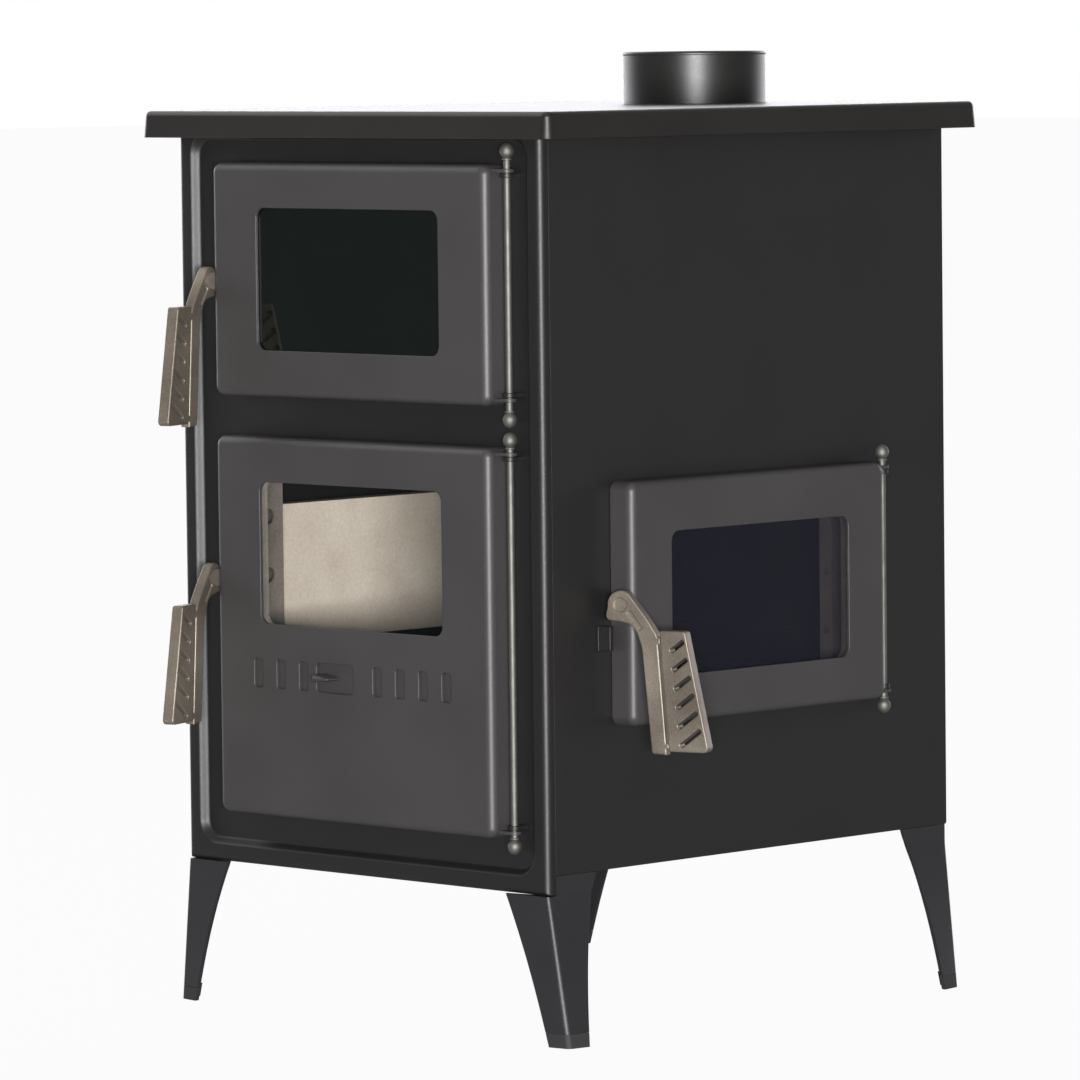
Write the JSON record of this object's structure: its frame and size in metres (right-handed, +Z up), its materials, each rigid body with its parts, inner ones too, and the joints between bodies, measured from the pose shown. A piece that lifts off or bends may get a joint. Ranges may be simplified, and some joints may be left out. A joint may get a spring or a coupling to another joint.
{
  "type": "wood burning stove",
  "caption": "Freestanding wood burning stove with glazed oven door, glazed firebox door with air slider, side loading door, ash pan, splayed legs and top flue collar.",
  "frame": {"origin": "centre of the bounding box, at the floor under the feet", "axes": "+Z up; the oven and firebox doors face -Y; the side loading door faces +X"},
  "size_m": [0.581, 0.628, 0.842],
  "materials": {
    "case_paint": "satin charcoal heat-resistant paint",
    "door_paint": "satin grey heat-resistant paint",
    "collar_paint": "satin black heat-resistant paint",
    "chrome": "polished",
    "satin_nickel": "warm satin nickel",
    "cast_iron": "as cast, sooted",
    "inner_steel": "bare heat-stained sheet",
    "ceramic_glass": "clear heat-resistant glass over a dark interior",
    "vermiculite_board": "pale pressed insulating board",
    "seal_rope": "woven glass rope",
    "foot_rubber": "matt black"
  },
  "bodies": {
    "case": {"air_post_front": "inner_steel", "air_post_rear": "inner_steel", "ash_shelf": "inner_steel", "baffle_plate": "cast_iron", "base_panel": "case_paint", "flue_collar": "collar_paint", "foot_front_left": "foot_rubber", "foot_front_right": "foot_rubber", "foot_rear_left": "foot_rubber", "foot_rear_right": "foot_rubber", "front_panel": "case_paint", "grate": "cast_iron", "hearth_plate": "cast_iron", "leg_front_left": "case_paint", "leg_front_right": "case_paint", "leg_rear_left": "case_paint", "leg_rear_right": "case_paint", "liner_board_left": "vermiculite_board", "liner_plate_rear": "cast_iron", "lower_door_bracket_lower": "case_paint", "lower_door_bracket_upper": "case_paint", "lower_door_hinge_rod": "chrome", "lower_door_keeper": "case_paint", "oven_box": "inner_steel", "rear_panel": "case_paint", "side_door_bracket_lower": "case_paint", "side_door_bracket_upper": "case_paint", "side_door_hinge_rod": "chrome", "side_door_keeper": "case_paint", "side_panel_left": "case_paint", "side_panel_right": "case_paint", "top_plate": "case_paint", "upper_door_bracket_lower": "case_paint", "upper_door_bracket_upper": "case_paint", "upper_door_hinge_rod": "chrome", "upper_door_keeper": "case_paint"},
    "upper_door": {"upper_door_shell": "door_paint", "upper_door_glass": "ceramic_glass", "upper_door_glass_frame": "inner_steel", "upper_door_seal": "seal_rope"},
    "upper_door_handle": {"upper_door_handle_arm": "satin_nickel", "upper_door_handle_grip": "satin_nickel"},
    "lower_door": {"lower_door_shell": "door_paint", "lower_door_glass": "ceramic_glass", "lower_door_glass_frame": "inner_steel", "lower_door_seal": "seal_rope", "slider_rail_lower": "inner_steel", "slider_rail_upper": "inner_steel"},
    "lower_door_handle": {"lower_door_handle_arm": "satin_nickel", "lower_door_handle_grip": "satin_nickel"},
    "air_slider": {"air_slider": "door_paint"},
    "side_door": {"side_door_shell": "door_paint", "side_door_glass": "ceramic_glass", "side_door_glass_frame": "inner_steel", "side_door_seal": "seal_rope"},
    "side_door_handle": {"side_door_handle_arm": "satin_nickel", "side_door_handle_grip": "satin_nickel"},
    "ash_pan": {"ash_pan": "inner_steel"},
    "oven_rack": {"oven_rack": "chrome"}
  },
  "joints": [
    {"name": "upper_door_hinge", "type": "hinge", "parent": "case", "child": "upper_door", "pos_m": [0.15288, -0.22238, 0.5455], "axis": [0, 0, 1], "range_deg": [0, 110]},
    {"name": "lower_door_hinge", "type": "hinge", "parent": "case", "child": "lower_door", "pos_m": [0.15288, -0.22238, 0.1765], "axis": [0, 0, 1], "range_deg": [0, 110]},
    {"name": "side_door_hinge", "type": "hinge", "parent": "case", "child": "side_door", "pos_m": [0.19888, 0.19912, 0.269], "axis": [0, 0, 1], "range_deg": [0, 110]},
    {"name": "upper_handle_lift", "type": "hinge", "parent": "upper_door", "child": "upper_door_handle", "pos_m": [-0.20962, -0.23438, 0.6462], "axis": [-1, 0, 0], "range_deg": [0, 40]},
    {"name": "lower_handle_lift", "type": "hinge", "parent": "lower_door", "child": "lower_door_handle", "pos_m": [-0.20962, -0.23438, 0.3843], "axis": [-1, 0, 0], "range_deg": [0, 40]},
    {"name": "side_handle_lift", "type": "hinge", "parent": "side_door", "child": "side_door_handle", "pos_m": [0.21088, -0.14738, 0.375], "axis": [0, -1, 0], "range_deg": [0, 40]},
    {"name": "air_slider_slide", "type": "slide", "parent": "lower_door", "child": "air_slider", "axis": [1, 0, 0], "range_m": [0, 0.014]},
    {"name": "ash_pan_slide", "type": "slide", "parent": "case", "child": "ash_pan", "axis": [0, -1, 0], "range_m": [0, 0.125]},
    {"name": "oven_rack_slide", "type": "slide", "parent": "case", "child": "oven_rack", "axis": [0, -1, 0], "range_m": [0, 0.12]}
  ],
  "couplings": [
    {"joint": "ash_pan_slide", "follows": "lower_door_hinge", "m_per_rad": 0.065},
    {"joint": "oven_rack_slide", "follows": "upper_door_hinge", "m_per_rad": 0.062}
  ]
}
